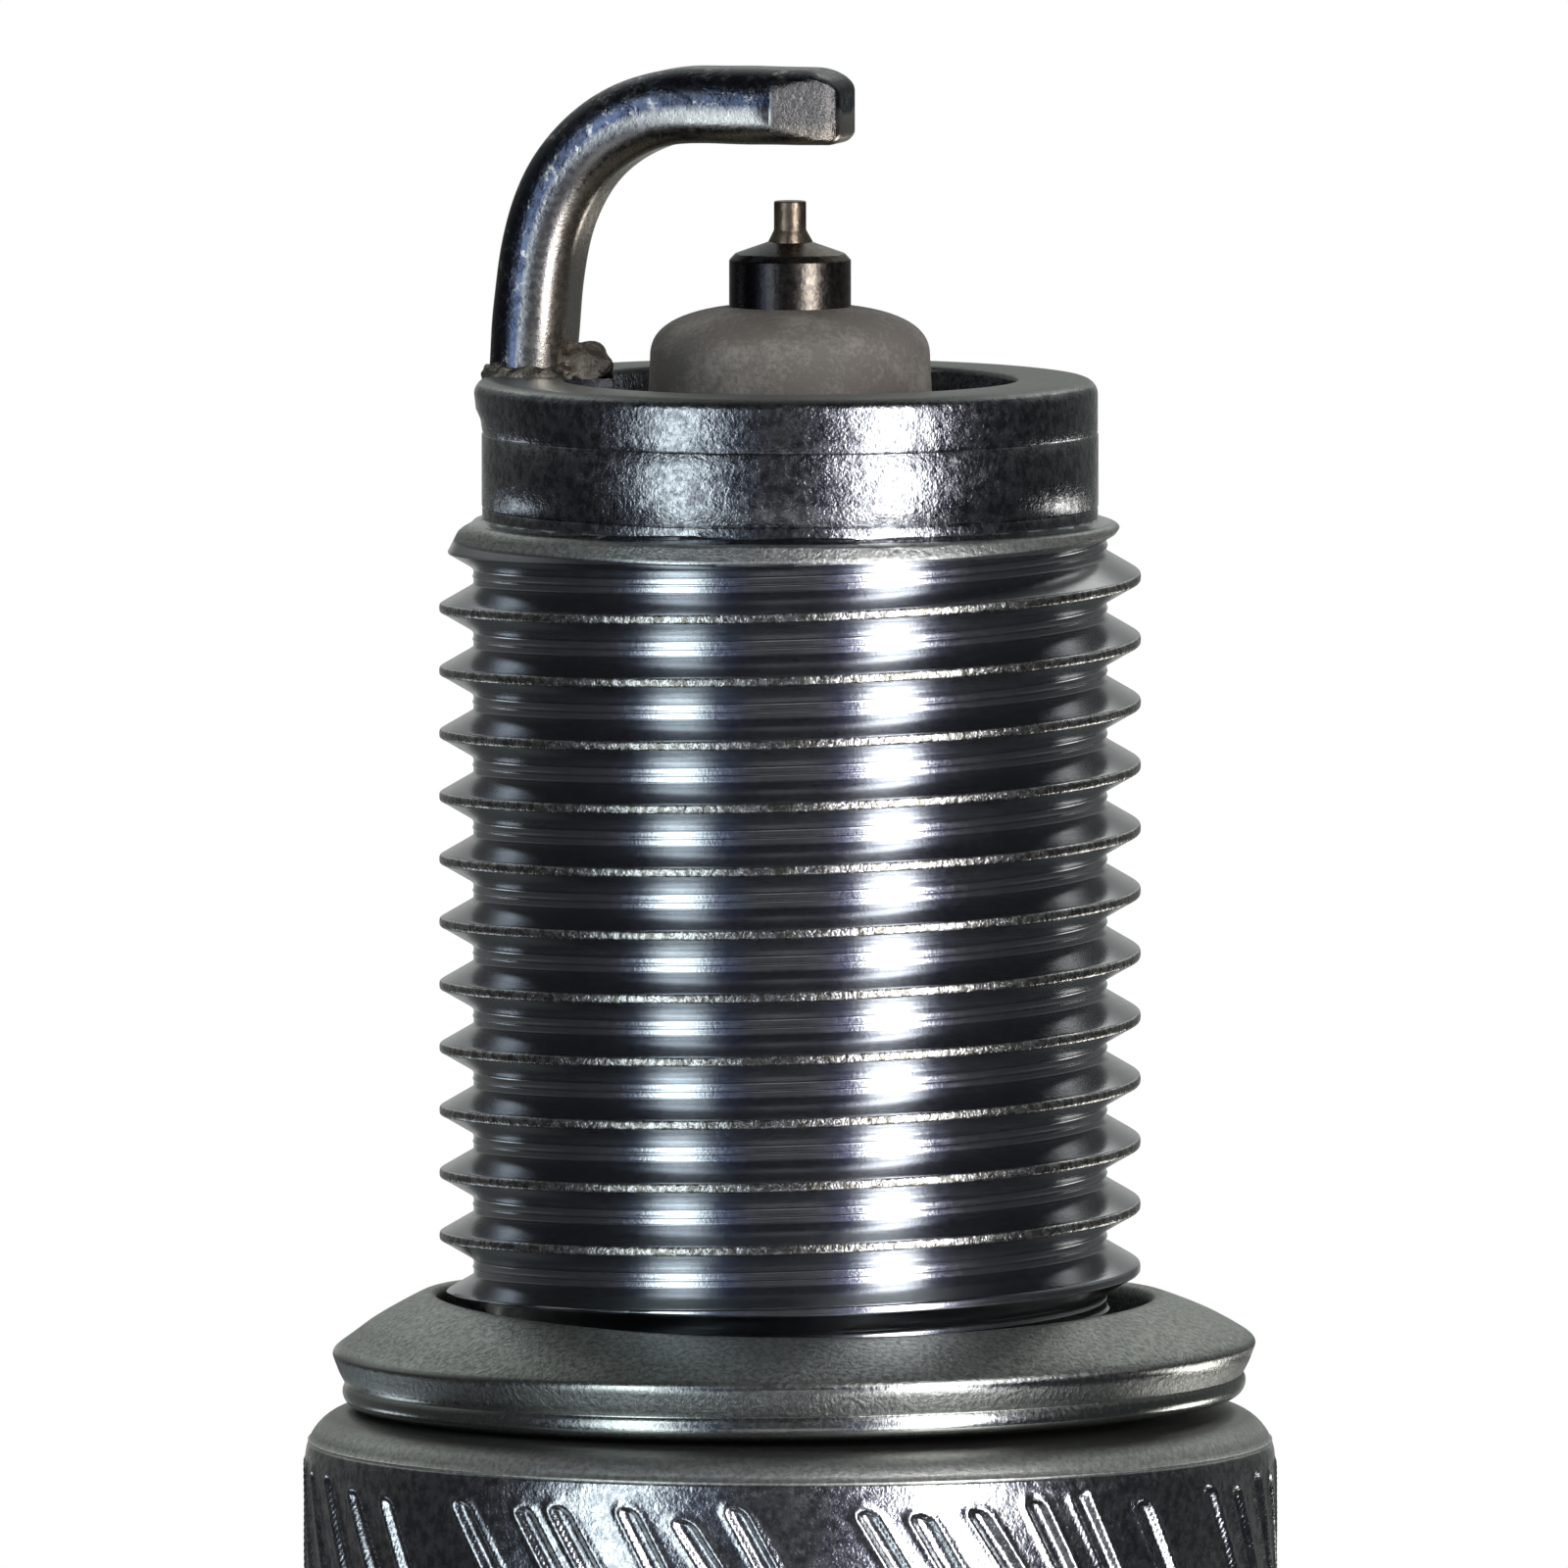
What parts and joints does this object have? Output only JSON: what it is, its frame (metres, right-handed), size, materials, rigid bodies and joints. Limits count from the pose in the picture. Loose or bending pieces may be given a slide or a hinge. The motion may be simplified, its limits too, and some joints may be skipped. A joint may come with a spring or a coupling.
{
  "type": "spark plug",
  "caption": "Spark plug with a long-reach metric thread, folded crush gasket, hexagon shell, ribbed insulator, fine-wire centre electrode and a J-shaped ground strap.",
  "frame": {"origin": "on the plug's axis, in the plane of the shell's gasket seat", "axes": "+Z along the axis towards the firing end; the hexagon has corners on +X and -X and flats facing +Y and -Y; the ground strap stands over -X, turned 16 degrees towards +Y"},
  "size_m": [0.0192, 0.0192, 0.0756],
  "materials": {
    "plated_steel": "bright nickel plate over rolled and turned steel",
    "gasket_steel": "dull plated sheet steel, rolled edges worn bright",
    "nickel_strap": "drawn nickel alloy, satin",
    "alumina": "white alumina, glazed on the neck and matt on the nose",
    "nickel_rod": "dark drawn nickel alloy",
    "copper_core": "plain copper",
    "precious_metal": "drawn precious-metal wire",
    "seal_glass": "opaque metal-filled glass",
    "resistor_mix": "fused carbon and glass powder",
    "stud_steel": "zinc-plated steel",
    "terminal_plating": "bright plated, turned",
    "packing_steel": "plain steel",
    "talc": "pressed powder"
  },
  "bodies": {
    "plug_body": {"shell": "plated_steel", "ground_electrode": "nickel_strap", "insulator": "alumina", "centre_electrode": "nickel_rod", "centre_electrode_core": "copper_core", "electrode_tip": "precious_metal", "lower_glass_seal": "seal_glass", "resistor": "resistor_mix", "upper_glass_seal": "seal_glass", "terminal_stud": "stud_steel", "seat_washer": "packing_steel", "lower_packing_ring": "packing_steel", "talc_ring": "talc", "upper_packing_ring": "packing_steel"},
    "loose_gasket": {"gasket": "gasket_steel"},
    "screwed_terminal": {"terminal_nut": "terminal_plating"}
  },
  "joints": [
    {"name": "gasket_lift", "type": "slide", "parent": "plug_body", "child": "loose_gasket", "axis": [0, 0, 1], "range_m": [0, 0.0019]},
    {"name": "terminal_nut_turn", "type": "hinge", "parent": "plug_body", "child": "screwed_terminal", "pos_m": [0, 0, -0.04034], "axis": [0, 0, 1], "range_deg": [0, 3960]}
  ]
}
